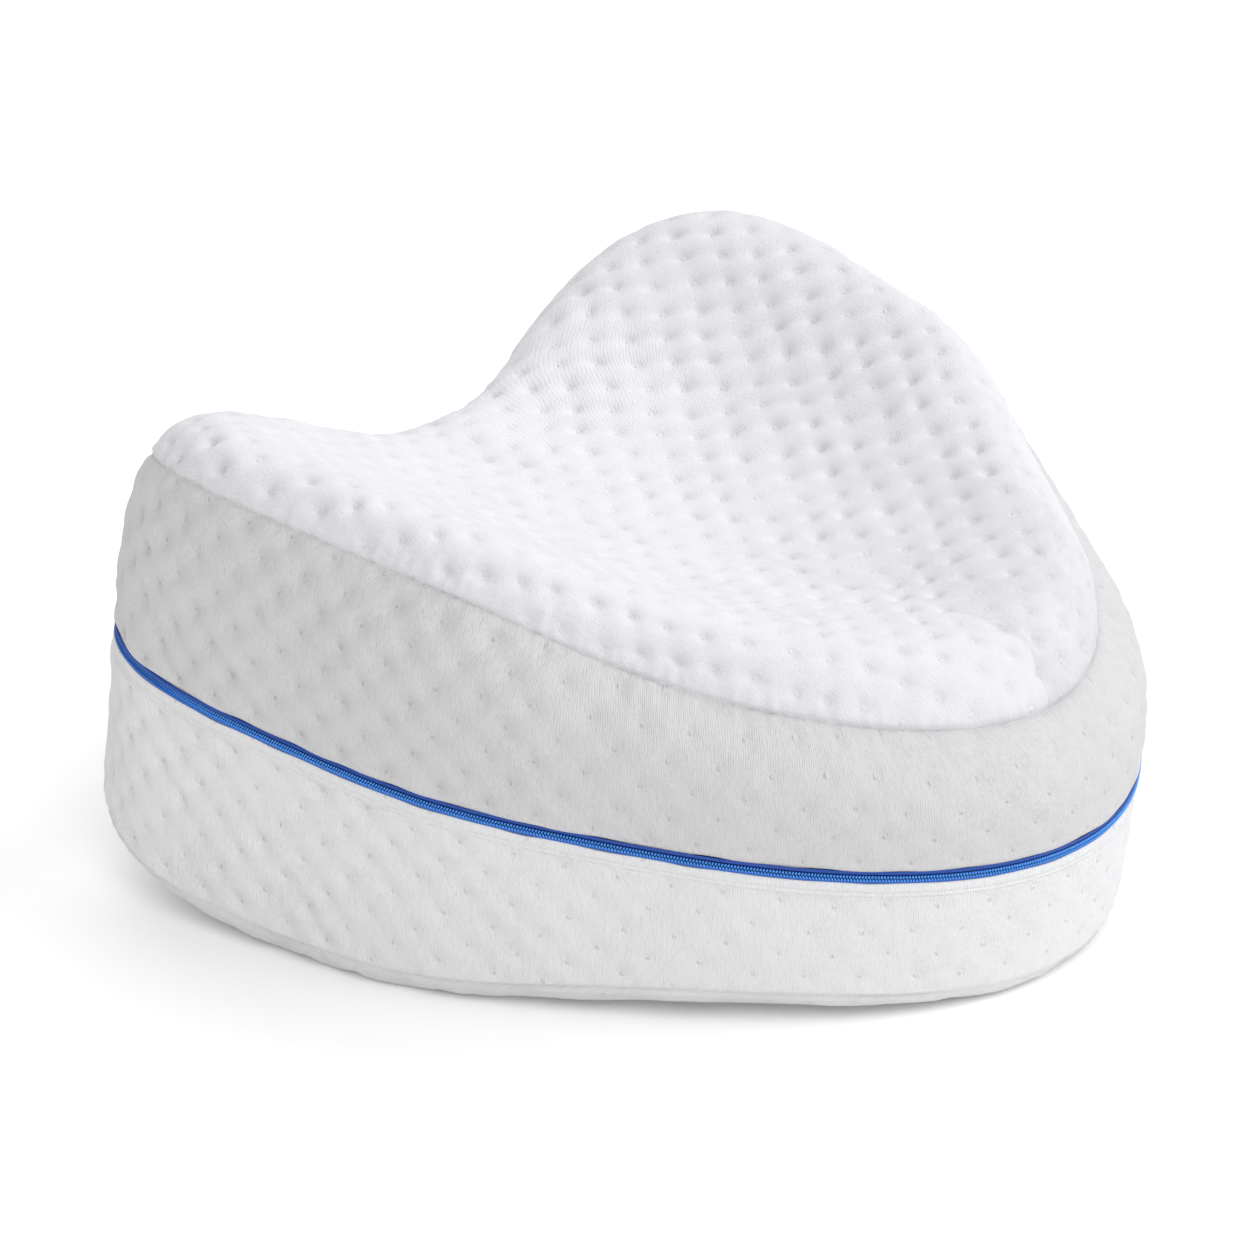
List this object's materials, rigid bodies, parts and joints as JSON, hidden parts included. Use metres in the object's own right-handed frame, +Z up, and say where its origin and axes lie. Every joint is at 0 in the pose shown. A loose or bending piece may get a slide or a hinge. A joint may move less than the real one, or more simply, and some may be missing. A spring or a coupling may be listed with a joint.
{
  "type": "knee pillow",
  "caption": "Heart-shaped filled knee pillow with a leg trough across its top and bottom, quilted white cloth panels and a blue zip round the middle.",
  "frame": {"origin": "on the surface it lies on, below the middle of its bounding box", "axes": "+X across the trough from one lobe to the other, +Y from the rounded tip towards the notch, +Z up"},
  "size_m": [0.2498, 0.2486, 0.1323],
  "materials": {
    "side_band_cloth": "white quilted knit, fine upright ribs, matt",
    "panel_cloth": "white quilted knit, soft puffs between small dimples, matt",
    "zip_coil": "blue nylon coil",
    "zip_tape": "dark blue woven tape"
  },
  "bodies": {
    "root": {"filled_body": "side_band_cloth", "top_panel": "panel_cloth", "bottom_panel": "panel_cloth", "zip_coil_upper": "zip_coil", "zip_coil_lower": "zip_coil", "zip_tape": "zip_tape"}
  },
  "joints": []
}
